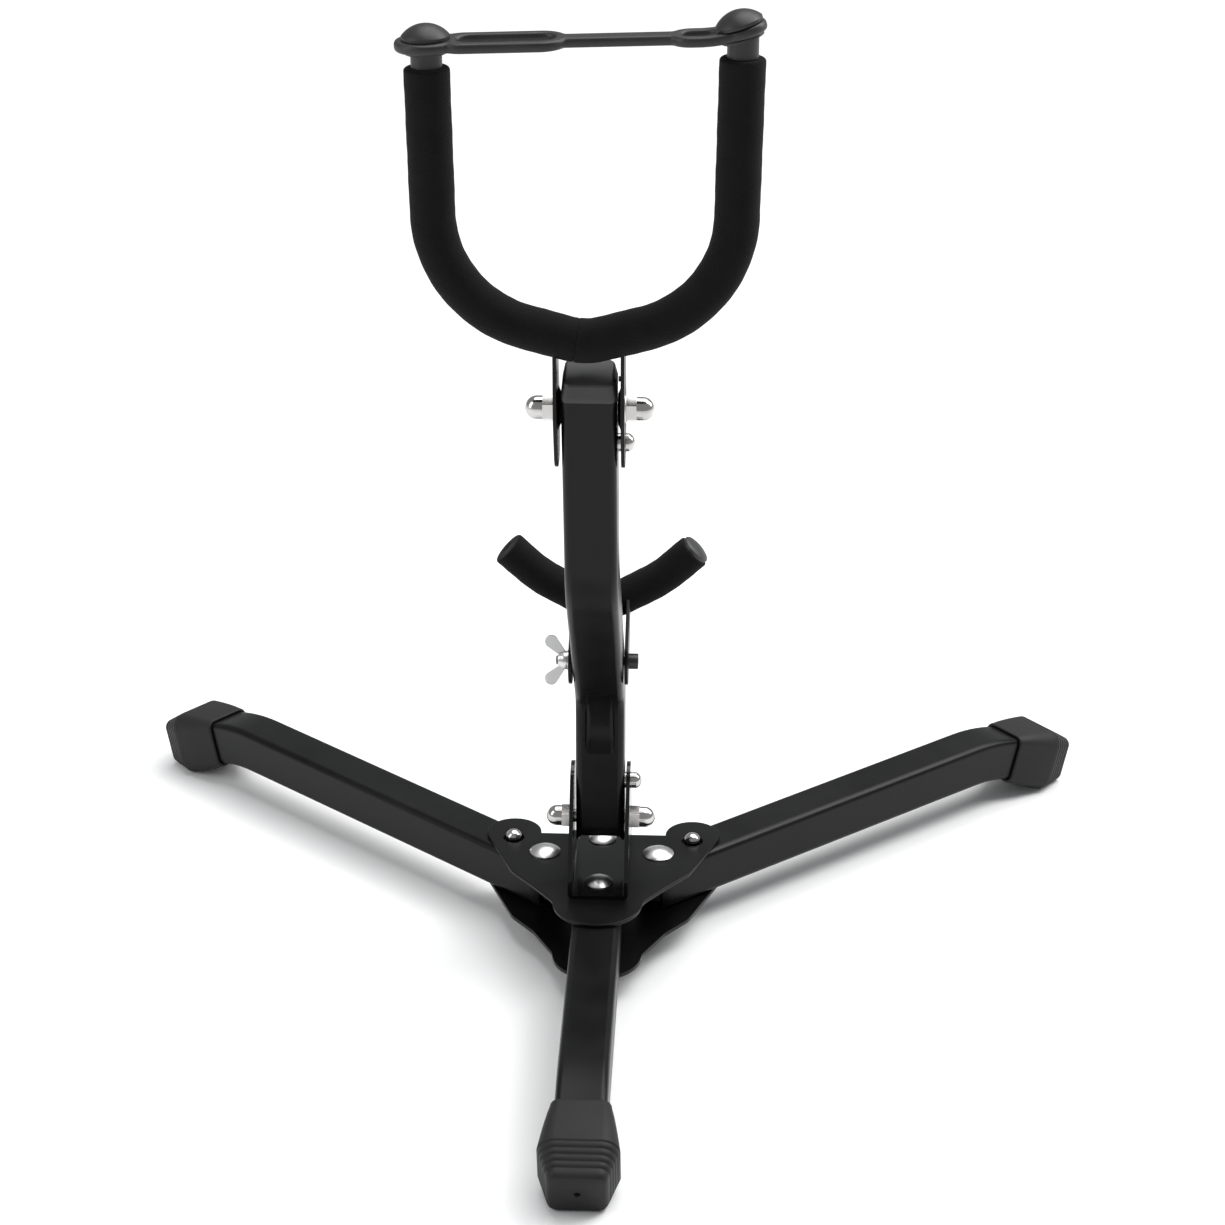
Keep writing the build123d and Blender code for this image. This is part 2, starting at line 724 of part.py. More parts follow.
def make_yoke_foam(side):
    slot_start = side * (CHEEK_INSIDE - CHEEK_SLOT_GAP)
    with BuildPart() as foam:
        with BuildLine(yoke_plane()):
            yoke_route(0)
        with BuildSketch(arm_end_plane(0)):
            Circle(FOAM_RADIUS)
            Circle(FOAM_BORE, mode=Mode.SUBTRACT)
        sweep()
        keep_side = Keep.TOP if side > 0 else Keep.BOTTOM
        split(bisect_by=Plane.YZ.offset(YOKE_X + SLEEVES_MEET), keep=keep_side)
        with BuildSketch(Plane.YZ.offset(slot_start)):
            cheek_outline(side, CHEEK_SLOT_GAP)
        extrude(amount=side * (CHEEK_THICK + 2 * CHEEK_SLOT_GAP), mode=Mode.SUBTRACT)
    return foam


def make_yoke_cheek(side):
    axis = Plane(origin=(0, TOP_Y, TOP_Z), x_dir=(0, 0, 1), z_dir=(side, 0, 0))
    inner = CHEEK_INSIDE - DISH_STEP
    with BuildPart() as cheek:
        with BuildSketch(Plane.YZ.offset(side * CHEEK_INSIDE)):
            cheek_outline(side, 0)
            with Locations((TOP_Y, TOP_Z)):
                Circle(DISH_EDGE, mode=Mode.SUBTRACT)
            if side > 0:
                with Locations((YOKE_BUTTON_Y, YOKE_BUTTON_Z)):
                    Circle(CHEEK_BUTTON_HOLE, mode=Mode.SUBTRACT)
        extrude(amount=side * CHEEK_THICK)
        with BuildSketch(profile_plane(axis)):
            Polygon(
                (STUD_BORE, inner),
                (DISH_FLAT, inner),
                (DISH_EDGE, CHEEK_INSIDE),
                (DISH_EDGE + DISH_LAP, CHEEK_INSIDE),
                (DISH_EDGE + DISH_LAP, CHEEK_INSIDE + CHEEK_THICK),
                (DISH_EDGE - DISH_LEAN, CHEEK_INSIDE + CHEEK_THICK),
                (DISH_FLAT - DISH_LEAN, inner + CHEEK_THICK),
                (STUD_BORE, inner + CHEEK_THICK),
                align=None,
            )
        revolve(axis=axis_of(axis))
        add(make_yoke_rod(YOKE_ROD + WELD_GAP).part, mode=Mode.SUBTRACT)
        if side > 0:
            with BuildSketch(Plane.YZ.offset(CHEEK_INSIDE)):
                with Locations((TOP_Y, TOP_Z + NUB_RISE)):
                    Circle(NUB_RADIUS)
            extrude(amount=-NUB_LENGTH)
    return cheek


# ---- rubber plugs and the strap between them ----
def plug_base(side):
    return Vector(*arm_top(side, FOAM_CLEAR))


def neck_height(side):
    return NECK_HEIGHTS[0] if side < 0 else NECK_HEIGHTS[1]


def neck_top(side):
    return plug_base(side) + Vector(0, 0, neck_height(side))


def tilted_plane(origin, degrees_up):
    """A level plane at a point, tilted so that its +X side rises."""
    tilt = radians(degrees_up)
    return Plane(origin=origin, x_dir=(cos(tilt), 0, sin(tilt)), z_dir=(-sin(tilt), 0, cos(tilt)))


def strap_run():
    """From the left plug to the line where the strap bends up to its right ring."""
    kink = tilted_plane(neck_top(1), RIGHT_HEAD_TILT).from_local_coords((-STRAP_KINK, 0, 0))
    return kink - neck_top(-1)


def head_plane(side):
    """The plane under a plug's flange, tilted with the strap's ring around it."""
    run = strap_run()
    tilt = RIGHT_HEAD_TILT if side > 0 else degrees(atan2(run.Z, run.X))
    return tilted_plane(neck_top(side), tilt)


def make_plug(side):
    base = plug_base(side)
    head = head_plane(side)
    flange = PLUG_FLANGE_THICK
    groove = flange + PLUG_GROOVE
    rim = groove + PLUG_HEAD_RIM
    middle = dome_middle(PLUG_HEAD, PLUG_HEAD_RISE)
    with BuildPart() as plug:
        with BuildSketch(Plane(origin=base, z_dir=(0, 0, 1))):
            Circle(PLUG_NECK)
        extrude(amount=neck_height(side) + NECK_INTO_HEAD)
        with BuildSketch(profile_plane(head)):
            with BuildLine():
                Polyline(
                    (0, 0),
                    (PLUG_FLANGE, 0),
                    (PLUG_FLANGE, flange),
                    (PLUG_GROOVE_RADIUS, flange),
                    (PLUG_GROOVE_RADIUS, groove),
                    (PLUG_HEAD, groove),
                    (PLUG_HEAD, rim),
                )
                ThreePointArc((PLUG_HEAD, rim), (middle[0], rim + middle[1]), (0, rim + PLUG_HEAD_RISE))
                Line((0, rim + PLUG_HEAD_RISE), (0, 0))
            make_face()
        revolve(axis=axis_of(head))
        with BuildSketch(Plane(origin=base, z_dir=(0, 0, 1))):
            Circle(PLUG_BORE)
        extrude(amount=ROD_ABOVE_FOAM, mode=Mode.SUBTRACT)
    return plug


def make_strap():
    """Two loops and a bar in one plane, and the right ring bent up from them."""
    lift = PLUG_FLANGE_THICK + (PLUG_GROOVE - STRAP_THICK) / 2
    run = strap_run().length
    loop_start = run + STRAP_KINK - SHORT_LOOP
    long_slot = LONG_LOOP - STRAP_HOLE - LOOP_WEB - LOOP_BAND
    short_slot = run - loop_start - LOOP_BAND
    with BuildPart() as strap:
        with BuildSketch(head_plane(-1).offset(lift)):
            Circle(STRAP_RINGS[0])
            with Locations((LONG_LOOP / 2, 0)):
                SlotOverall(LONG_LOOP, LONG_LOOP_WIDE)
            with Locations(((LONG_LOOP + loop_start) / 2, 0)):
                Rectangle(loop_start - LONG_LOOP + LOOP_BAND, BAR_WIDE)
            with Locations((loop_start + SHORT_LOOP / 2, 0)):
                SlotOverall(SHORT_LOOP, SHORT_LOOP_WIDE)
            with Locations((run + STRAP_LAP, 0)):
                Rectangle(SHORT_LOOP, LONG_LOOP_WIDE, align=(Align.MIN, Align.CENTER), mode=Mode.SUBTRACT)
            with Locations((LONG_LOOP - LOOP_BAND - long_slot / 2, 0)):
                SlotOverall(long_slot, LONG_LOOP_WIDE - 2 * LOOP_BAND, mode=Mode.SUBTRACT)
            with Locations((run - short_slot / 2, 0)):
                SlotOverall(short_slot, SHORT_LOOP_WIDE - 2 * LOOP_BAND, mode=Mode.SUBTRACT)
        extrude(amount=STRAP_THICK)
        with BuildSketch(head_plane(1).offset(lift)):
            Circle(STRAP_RINGS[1])
            with Locations((-STRAP_KINK - STRAP_LAP, 0)):
                Rectangle(STRAP_KINK, SHORT_LOOP_WIDE, align=(Align.MIN, Align.CENTER))
        extrude(amount=STRAP_THICK)
        for side in (-1, 1):
            with BuildSketch(head_plane(side).offset(lift - STRAP_THICK)):
                Circle(STRAP_HOLE)
            extrude(amount=3 * STRAP_THICK, mode=Mode.SUBTRACT)
    return strap


# ---- cradle ----
def cradle_route(shorter):
    """The cradle's centre line, stopping a bit short of each tip."""
    knee, tip = Vector(*CRADLE_KNEE), Vector(*CRADLE_TIP)
    end = tip - (tip - knee).normalized() * shorter
    FilletPolyline(
        (-end.X, end.Y),
        (-knee.X, knee.Y),
        (0, CRADLE_BOTTOM),
        (knee.X, knee.Y),
        (end.X, end.Y),
        radius=(CRADLE_KNEE_BEND, CRADLE_CENTRE_BEND, CRADLE_KNEE_BEND),
    )


def cradle_plane():
    return Plane(origin=(0, CRADLE_Y, 0), x_dir=(1, 0, 0), z_dir=(0, -1, 0))


def cradle_end_plane(side, shorter):
    """The section plane at one end of the cradle's centre line, pointing out of it."""
    with BuildLine(cradle_plane(), mode=Mode.PRIVATE) as route:
        cradle_route(shorter)
    line = route.wires()[0]
    if side < 0:
        return Plane(origin=line @ 0, x_dir=(0, 1, 0), z_dir=-(line % 0))
    return Plane(origin=line @ 1, x_dir=(0, 1, 0), z_dir=line % 1)


def make_cradle_rod(radius):
    start = cradle_end_plane(-1, CRADLE_ROD_SHORT)
    stub = cradle_end_plane(1, CRADLE_ROD_SHORT)
    with BuildPart() as rod:
        with BuildLine(cradle_plane()):
            cradle_route(CRADLE_ROD_SHORT)
        with BuildSketch(start):
            Circle(radius)
        sweep()
        with BuildSketch(stub):
            Circle(radius)
        extrude(amount=CRADLE_ROD_SHORT + CRADLE_CAP_SOCKET)
    return rod


def cradle_rod_height(x):
    """Height of the cradle's sloping foot at a distance from its middle."""
    slope = (CRADLE_KNEE[1] - CRADLE_BOTTOM) / CRADLE_KNEE[0]
    return CRADLE_BOTTOM + abs(x) * slope


def cradle_cheek_outline(margin):
    """The cradle plate's outline in YZ, grown by a margin, drawn in the open sketch."""
    horn = (CRADLE_Y, cradle_rod_height(CRADLE_CHEEK_INSIDE))
    with BuildLine() as rims:
        CenterArc((CRADLE_BOLT_Y, CRADLE_BOLT_Z), CRADLE_CHEEK_EYE + margin, 0, 360)
        CenterArc(horn, CRADLE_CHEEK_HORN + margin, 0, 360)
    make_hull(rims.edges())


def make_cradle_cheek(side):
    with BuildPart() as cheek:
        with BuildSketch(Plane.YZ.offset(side * CRADLE_CHEEK_INSIDE)):
            cradle_cheek_outline(0)
            with Locations((CRADLE_BOLT_Y, CRADLE_BOLT_Z)):
                Circle(CRADLE_BORE, mode=Mode.SUBTRACT)
        extrude(amount=side * CRADLE_CHEEK_THICK)
        add(make_cradle_rod(CRADLE_ROD + WELD_GAP).part, mode=Mode.SUBTRACT)
    return cheek


def make_cradle_foam(side):
    with BuildPart() as foam:
        with BuildLine(cradle_plane()):
            cradle_route(0)
        with BuildSketch(cradle_end_plane(-1, 0)):
            Circle(CRADLE_FOAM)
            Circle(CRADLE_FOAM_BORE, mode=Mode.SUBTRACT)
        sweep()
        split(bisect_by=Plane.YZ, keep=Keep.TOP if side > 0 else Keep.BOTTOM)
        with BuildSketch(Plane.YZ.offset(side * (CRADLE_CHEEK_INSIDE - CHEEK_SLOT_GAP))):
            cradle_cheek_outline(CHEEK_SLOT_GAP)
        extrude(amount=side * (CRADLE_CHEEK_THICK + 2 * CHEEK_SLOT_GAP), mode=Mode.SUBTRACT)
    return foam


def make_cradle_end_cap():
    tip = cradle_end_plane(1, 0)
    radius = CRADLE_CAP_RADIUS
    top_radius = radius - CRADLE_CAP_CHAMFER
    shoulder = CRADLE_CAP_RIM + CRADLE_CAP_CHAMFER
    middle = dome_middle(top_radius, CRADLE_CAP_DOME)
    top = shoulder + CRADLE_CAP_DOME
    with BuildPart() as cap:
        with BuildSketch(profile_plane(tip)):
            with BuildLine():
                Polyline((0, CRADLE_CAP_GAP), (radius, CRADLE_CAP_GAP), (radius, CRADLE_CAP_RIM))
                Line((radius, CRADLE_CAP_RIM), (top_radius, shoulder))
                ThreePointArc((top_radius, shoulder), (middle[0], shoulder + middle[1]), (0, top))
                Line((0, top), (0, CRADLE_CAP_GAP))
            make_face()
        revolve(axis=axis_of(tip))
        with BuildSketch(tip):
            Circle(CRADLE_CAP_BORE)
        extrude(amount=CRADLE_CAP_SOCKET + CRADLE_CAP_GAP, mode=Mode.SUBTRACT)
    return cap


def make_cradle_bolt():
    seat = CRADLE_CHEEK_INSIDE + CRADLE_CHEEK_THICK + SEAT_GAP
    nut_end = seat + SMALL_WASHER_THICK + SEAT_GAP + WING_HUB_LENGTH + THREAD_PAST_NUT
    centre = (CRADLE_BOLT_Y, CRADLE_BOLT_Z)
    with BuildPart() as bolt:
        with BuildSketch(Plane.YZ.offset(seat)):
            with Locations(centre):
                Circle(SCREW_HEAD)
        extrude(amount=SCREW_HEAD_LENGTH)
        chamfer(bolt.faces().sort_by(Axis.X)[-1].edges(), HEAD_CHAMFER)
        with BuildSketch(Plane.YZ.offset(seat + SCREW_HEAD_LENGTH)):
            with Locations(centre):
                RegularPolygon(HEX_KEY / 2, 6, major_radius=False)
        extrude(amount=-HEX_KEY_DEPTH, mode=Mode.SUBTRACT)
        with BuildSketch(Plane.YZ.offset(seat)):
            with Locations(centre):
                Circle(CRADLE_BOLT)
        extrude(amount=-(seat + nut_end))
        chamfer(bolt.faces().sort_by(Axis.X)[0].edges(), BOLT_CHAMFER)
    return bolt


def make_wing_nut():
    start = CRADLE_CHEEK_INSIDE + CRADLE_CHEEK_THICK + SMALL_WASHER_THICK + 2 * SEAT_GAP
    seat = Plane(
        origin=(-start, CRADLE_BOLT_Y, CRADLE_BOLT_Z),
        x_dir=(0, sin(radians(WING_ANGLE)), cos(radians(WING_ANGLE))),
        z_dir=(-1, 0, 0),
    )
    with BuildPart() as nut:
        with BuildSketch(profile_plane(seat)):
            Polygon(
                (0, 0),
                (WING_HUB, 0),
                (WING_HUB, WING_BASE),
                (WING_HUB_END, WING_HUB_LENGTH),
                (0, WING_HUB_LENGTH),
                align=None,
            )
        revolve(axis=axis_of(seat))
        for way in (-1, 1):
            with BuildSketch(profile_plane(seat)):
                with BuildLine():
                    CenterArc((way * WING_ROOT[1], WING_ROOT[0]), WING_ROOT[2], 0, 360)
                    CenterArc((way * WING_LOBE[1], WING_LOBE[0]), WING_LOBE[2], 0, 360)
                make_hull()
            extrude(amount=WING_THICK / 2, both=True)
        with BuildSketch(seat):
            Circle(WING_BORE)
        extrude(amount=2 * WING_HUB_LENGTH, mode=Mode.SUBTRACT)
    return nut


# ---- write the hub ----
keep(make_plate(PLATE_TOP - PLATE_THICK, UPPER_LOBE_Y, True), "upper_plate")
keep(make_plate(LOWER_PLATE_BOTTOM, LOWER_LOBE_Y, False), "lower_plate")
keep(make_bracket(), "column_bracket")

bracket_rivet_grip = PLATE_TOP + BRACKET_THICK - LOWER_PLATE_BOTTOM
bracket_rivet_frames = [Plane(origin=(0, y, LOWER_PLATE_BOTTOM)) for y in BRACKET_RIVETS_Y]
with BuildPart() as bracket_rivets:
    for rivet_frame in bracket_rivet_frames:
        add(make_rivet(rivet_frame, bracket_rivet_grip, BRACKET_RIVET_HEAD, RIVET_RISE).part)
keep(bracket_rivets, "bracket_rivets")

# ---- write the legs, feet, pivots and snap buttons ----
keep(make_leg(0), "front_leg")
keep(make_foot(0), "front_foot")
bush_length = TUBE - 2 * WALL - 2 * BUSH_SLACK
for name, side in SIDES.items():
    leg = leg_frame(side)
    pivot = Plane(origin=(side * PIVOT_X, PIVOT_Y, LOWER_PLATE_BOTTOM))
    keep(make_leg(side), f"{name}_leg")
    keep(make_foot(side), f"{name}_foot")
    keep(make_rivet(pivot, PLATE_TOP - LOWER_PLATE_BOTTOM, RIVET_HEAD, RIVET_RISE), f"{name}_leg_rivet")
    bush_seat = Plane(origin=(side * PIVOT_X, PIVOT_Y, LEG_Z - bush_length / 2))
    keep(make_ring(bush_seat, LEG_BUSH, LEG_BORE, bush_length), f"{name}_leg_bush")
    flange_z = LEG_Z + TUBE / 2 - WALL - FLANGE_THICK
    under_button = Plane(origin=(*button_spot(side)[:2], flange_z), x_dir=leg.x_dir, z_dir=(0, 0, 1))
    keep(make_button(under_button, PLATE_TOP + LEG_BUTTON_PROUD - flange_z), f"{name}_leg_button")
    keep(make_spring(profile_plane(under_button), SPRING_DEPTH), f"{name}_leg_spring")

# ---- write the column and its two hinges ----
keep(make_column(), "column")
keep(make_column_cap(), "column_cap")
cross_bush = -bush_length / 2
for name, centre in {"column": (HINGE_Y, HINGE_Z), "yoke": (TOP_Y, TOP_Z)}.items():
    bush_frame = Plane(origin=(cross_bush, *centre), x_dir=(0, 0, 1), z_dir=(1, 0, 0))
    keep(make_ring(bush_frame, BUSH, STUD_BORE, bush_length), f"{name}_pivot_bush")
column_seat = BRACKET_OUTSIDE
keep(make_stud((HINGE_Y, HINGE_Z), column_seat + NUT_THREAD - STUD_SHORT), "column_pivot_stud")
keep(make_nut_pair((HINGE_Y, HINGE_Z), column_seat), "column_pivot_nuts")
dish_seat = CHEEK_INSIDE - DISH_STEP + CHEEK_THICK + 0.05
yoke_seat = dish_seat + WASHER_THICK
keep(make_stud((TOP_Y, TOP_Z), yoke_seat + NUT_THREAD - STUD_SHORT), "yoke_pivot_stud")
keep(make_nut_pair((TOP_Y, TOP_Z), yoke_seat), "yoke_pivot_nuts")
washer_frames = [
    Plane(origin=(side * dish_seat, TOP_Y, TOP_Z), x_dir=(0, 0, 1), z_dir=(side, 0, 0))
    for side in (-1, 1)
]
with BuildPart() as yoke_washers:
    add([make_ring(frame, WASHER_RADIUS, STUD_BORE, WASHER_THICK).part for frame in washer_frames])
keep(yoke_washers, "yoke_pivot_washers")

flange_x = TUBE / 2 - WALL - FLANGE_THICK
column_button_frame = Plane(
    origin=(flange_x, HINGE_Y, HINGE_Z + COLUMN_BUTTON_RISE),
    x_dir=(0, 0, 1),
    z_dir=(1, 0, 0),
)
yoke_button_frame = Plane(
    origin=(flange_x, YOKE_BUTTON_Y, YOKE_BUTTON_Z),
    x_dir=(0, -AXIS_Y, -AXIS_Z),
    z_dir=(1, 0, 0),
)
keep(make_button(column_button_frame, COLUMN_BUTTON_TIP - flange_x), "column_button")
keep(make_button(yoke_button_frame, YOKE_BUTTON_TIP - flange_x), "yoke_button")
keep(make_spring(profile_plane(column_button_frame), SPRING_DEPTH), "column_button_spring")
keep(make_spring(profile_plane(yoke_button_frame), SPRING_DEPTH), "yoke_button_spring")

# ---- write the yoke and its strap ----
keep(make_yoke_rod(YOKE_ROD), "yoke_rod")
for name, side in SIDES.items():
    keep(make_yoke_cheek(side), f"yoke_cheek_{name}")
    keep(make_yoke_foam(side), f"yoke_foam_{name}")
    keep(make_plug(side), f"yoke_plug_{name}")
keep(make_strap(), "strap")

# ---- write the cradle, its bolt and its wing nut ----
keep(make_cradle_rod(CRADLE_ROD), "cradle_rod")
for name, side in SIDES.items():
    keep(make_cradle_cheek(side), f"cradle_cheek_{name}")
    keep(make_cradle_foam(side), f"cradle_foam_{name}")
keep(make_cradle_end_cap(), "cradle_end_cap")
keep(make_cradle_bolt(), "cradle_bolt")
cradle_bush_frame = Plane(
    origin=(cross_bush, CRADLE_BOLT_Y, CRADLE_BOLT_Z), x_dir=(0, 0, 1), z_dir=(1, 0, 0)
)
keep(make_ring(cradle_bush_frame, CRADLE_BUSH, CRADLE_BORE, bush_length), "cradle_bush")
washer_seat = CRADLE_CHEEK_INSIDE + CRADLE_CHEEK_THICK + SEAT_GAP
cradle_washer_frame = Plane(
    origin=(-washer_seat, CRADLE_BOLT_Y, CRADLE_BOLT_Z), x_dir=(0, 0, 1), z_dir=(-1, 0, 0)
)
keep(make_ring(cradle_washer_frame, SMALL_WASHER, CRADLE_BORE, SMALL_WASHER_THICK), "cradle_washer")
keep(make_wing_nut(), "wing_nut")
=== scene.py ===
import json
from math import atan2, ceil, cos, exp, pi, radians, sin, tan

import bmesh
import bpy
from mathutils import Matrix, Vector


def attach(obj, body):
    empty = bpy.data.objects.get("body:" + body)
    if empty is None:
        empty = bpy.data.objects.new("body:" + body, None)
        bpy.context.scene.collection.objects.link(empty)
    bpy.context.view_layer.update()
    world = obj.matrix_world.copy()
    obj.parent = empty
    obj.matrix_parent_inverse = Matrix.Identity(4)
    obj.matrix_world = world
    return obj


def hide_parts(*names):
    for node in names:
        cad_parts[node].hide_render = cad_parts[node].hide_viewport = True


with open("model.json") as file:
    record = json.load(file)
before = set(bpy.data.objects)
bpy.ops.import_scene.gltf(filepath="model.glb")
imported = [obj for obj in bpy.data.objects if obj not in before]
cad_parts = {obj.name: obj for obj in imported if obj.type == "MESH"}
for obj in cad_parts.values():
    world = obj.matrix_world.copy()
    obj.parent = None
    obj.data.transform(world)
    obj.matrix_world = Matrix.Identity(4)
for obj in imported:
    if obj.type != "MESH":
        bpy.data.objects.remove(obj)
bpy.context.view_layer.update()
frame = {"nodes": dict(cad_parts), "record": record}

MM = 0.001
UP = Vector((0, 0, 1))

# The same driving dimensions as the CAD, in millimetres and radians.
PIVOT = (26.5, 27.8)
LEG_Z = 25.55
SIDE_ANGLE = radians(50.3)
REACHES = {"front": 229.0, "left": 259.0, "right": 259.0}
BEND_RADIUS = 85.0
DROOP = radians(17.0)
FOOT_LENGTH = 39.0
FOOT_FLARE = 23.5
FOOT_WIDE = (34.0, 32.0, 8.0)
FOOT_MOUTH = (25.0, 25.0, 4.0)
FOOT_END = (23.8, 22.0, 3.5)
FOOT_SOCKET = 22.2
FOOT_SOCKET_DEPTH = 28.4
FOOT_VENT = 1.3
SOCKET_CORNER = 3.0
MOUTH_STATIONS = (0.8, 1.6, 2.6)
FLARE_STATIONS = (6, 10, 14, 17.5, 20.5, 22.6)
FLARE_SWELL = 0.5
RIBS = 5
RIB_PITCH = 2.7
RIB_PROFILE = ((0, 0), (0.25, 0.5), (0.6, 0.55), (0.95, 0))
TOE_PROFILE = ((37.4, 0.1), (38.2, 0.5), (38.7, 1.2), (FOOT_LENGTH, 2.4))

YOKE_X = -1.6
YOKE_Y = -86.8
YOKE_BOTTOM = 331.1
YOKE_SLOPE = radians(15.0)
YOKE_HALF = 57.8
YOKE_SPLAY = 1.6
YOKE_BENDS = (48.0, 25.0, 48.0)
FOAM_TOPS = (439.7, 444.7)
FOAM_RADIUS = 8.8
FOAM_BORE = 4.06
SLEEVES_MEET = -3.4

# Foam sleeves: overlap, rounded ends and stations along and round the foam.
SLEEVE_LAP = 0.25
YOKE_LIP = 1.1
CRADLE_LIP = 0.9
LIP_STEPS = 5
SLEEVE_SIDES = 48
SLEEVE_STEP = 1.6
BORE_STEPS = 40
PATH_STEP = 1.5
LOOK_AHEAD = 0.6
PINHOLE = 0.3
# How uneven the foam is: height, turns along the sleeve and lobes round it.
FOAM_WAVES = ((0.05, 0.31, 2), (0.04, 0.83, -3))

CRADLE_Y = 20.6
CRADLE_BOTTOM = 168.0
CRADLE_KNEE = (27.5, 183.4)
CRADLE_TIP = (41.3, 196.4)
CRADLE_BENDS = (60.0, 20.0, 60.0)
CRADLE_FOAM = 7.9
CRADLE_BORE = 3.06
CRADLE_SEAL = 2.4

NECKS = (5.3, 7.0)
FOAM_CLEAR = 0.3
HEAD_TILT = radians(17.0)
STRAP_KINK = 10.0
STRAP_LIFT = 1.2
STRAP_THICK = 4.0
STRAP_RINGS = (12.0, 9.2)
STRAP_HOLE = 6.3
LONG_LOOP = 53.4
LONG_LOOP_WIDE = 20.5
LOOP_BAND = 4.6
LOOP_WEB = 5.0
BAR_WIDE = 8.6
SHORT_LOOP = 28.0
SHORT_LOOP_WIDE = 17.0
LOOP_START = 4
LOOP_PAST = 2
BAR_PAST = 6
JOIN_SOFT = 0.45
OUTLINE_STEPS = 320
ARC_STEPS = 24
STRAP_EDGE = 1.35
STRAP_VOXEL = 0.55
KINK_SPREAD = 7.0

# Rounded edges on carried-over CAD nodes, in millimetres and radians.
WELD_GAP = 0.002
EDGE_SEGMENTS = 3
EDGE_ANGLE = radians(38)

# Studio, in metres; the camera's pitch, yaw and roll are in degrees and its place in millimetres.
FLOOR_HALF = 8.0
FLOOR_CELLS = 24
FLOOR_DROP = 0.0003
LAMP_TARGET = (0, 0, 0.2)
SOFTBOX_SIZE = (0.5, 1.0)
CAMERA_TURN = (24.800, 2.261, 0.098)
CAMERA_PLACE = (52.279, -1173.718, 717.880)
CAMERA_LENS = 86.5
CAMERA_SENSOR = 36.0


# ---- materials ----
MOTTLE_BAND = (0.3, 0.7)
MOTTLE_DETAIL = 5


def surface(name, dark, light, rough, mottle, grain, bump, cells=False, **sockets):
    """A shader whose colour and roughness drift over a wide noise, with a fine grain in relief."""
    material = bpy.data.materials.new(name)
    material.use_nodes = True
    nodes, links = material.node_tree.nodes, material.node_tree.links
    shader = nodes["Principled BSDF"]
    for socket, value in sockets.items():
        shader.inputs[socket.replace("_", " ")].default_value = value
    place = nodes.new("ShaderNodeTexCoord")
    wide = nodes.new("ShaderNodeTexNoise")
    wide.inputs["Scale"].default_value = mottle
    wide.inputs["Detail"].default_value = MOTTLE_DETAIL
    links.new(place.outputs["Object"], wide.inputs["Vector"])
    colours = nodes.new("ShaderNodeValToRGB")
    for stop, position, colour in zip(colours.color_ramp.elements, MOTTLE_BAND, (dark, light)):
        stop.position = position
        stop.color = (*colour, 1)
    links.new(wide.outputs["Fac"], colours.inputs["Fac"])
    links.new(colours.outputs["Color"], shader.inputs["Base Color"])
    gloss = nodes.new("ShaderNodeMapRange")
    for socket, value in zip(("From Min", "From Max", "To Min", "To Max"), (*MOTTLE_BAND, *rough)):
        gloss.inputs[socket].default_value = value
    links.new(wide.outputs["Fac"], gloss.inputs["Value"])
    links.new(gloss.outputs["Result"], shader.inputs["Roughness"])
    fine = nodes.new("ShaderNodeTexVoronoi" if cells else "ShaderNodeTexNoise")
    fine.inputs["Scale"].default_value = grain
    links.new(place.outputs["Object"], fine.inputs["Vector"])
    relief = nodes.new("ShaderNodeBump")
    relief.inputs["Strength"].default_value = bump[0]
    relief.inputs["Distance"].default_value = bump[1] * MM
    links.new(fine.outputs["Distance" if cells else "Fac"], relief.inputs["Height"])
    links.new(relief.outputs["Normal"], shader.inputs["Normal"])
    return material


def grey(value, warm=0.0):
    """A neutral colour, or a slightly warm one."""
    return (value * (1 + warm), value, value * (1 - warm))


SLOTS = {
    "powder_black": surface(
        "powder_black", grey(0.003), grey(0.005), (0.28, 0.36), 45, 900, (0.35, 0.05),
        Specular_IOR_Level=0.17,
    ),
    "zinc": surface(
        "zinc", grey(0.6, 0.01), grey(0.68), (0.27, 0.33), 120, 1500, (0.05, 0.01), Metallic=1.0,
    ),
    "nickel": surface(
        "nickel", grey(0.47, 0.03), grey(0.56, 0.02), (0.14, 0.2), 100, 1200, (0.04, 0.01),
        Metallic=1.0,
    ),
    "black_oxide": surface(
        "black_oxide", grey(0.012), grey(0.02), (0.3, 0.42), 300, 1500, (0.2, 0.03),
        Specular_IOR_Level=0.5,
    ),
    "spring_steel": surface(
        "spring_steel", grey(0.42), grey(0.5), (0.25, 0.38), 200, 1500, (0.15, 0.02), Metallic=1.0,
    ),
    "foot_rubber": surface(
        "foot_rubber", grey(0.008, 0.03), grey(0.012, 0.03), (0.55, 0.68), 70, 1400, (0.4, 0.08),
        Specular_IOR_Level=0.3,
    ),
    "strap_rubber": surface(
        "strap_rubber", grey(0.012, 0.03), grey(0.018, 0.03), (0.4, 0.5), 80, 1300, (0.35, 0.05),
        Specular_IOR_Level=0.42,
    ),
    "foam": surface(
        "foam", grey(0.003), grey(0.006), (0.88, 0.96), 120, 1500, (0.7, 0.16), cells=True,
        Specular_IOR_Level=0.16, Sheen_Weight=0.02, Sheen_Roughness=0.5,
    ),
    "cap_plastic": surface(
        "cap_plastic", grey(0.022), grey(0.03), (0.42, 0.52), 90, 1500, (0.4, 0.05),
        Specular_IOR_Level=0.45,
    ),
    "bush_plastic": surface(
        "bush_plastic", grey(0.02), grey(0.03), (0.45, 0.55), 90, 1500, (0.3, 0.04),
    ),
}
GLOSS_BLACK = surface(
    "gloss_black", grey(0.003), grey(0.005), (0.12, 0.2), 45, 600, (0.25, 0.04),
    Specular_IOR_Level=0.4,
)


def paint(piece, material):
    piece.data.materials.clear()
    piece.data.materials.append(material)


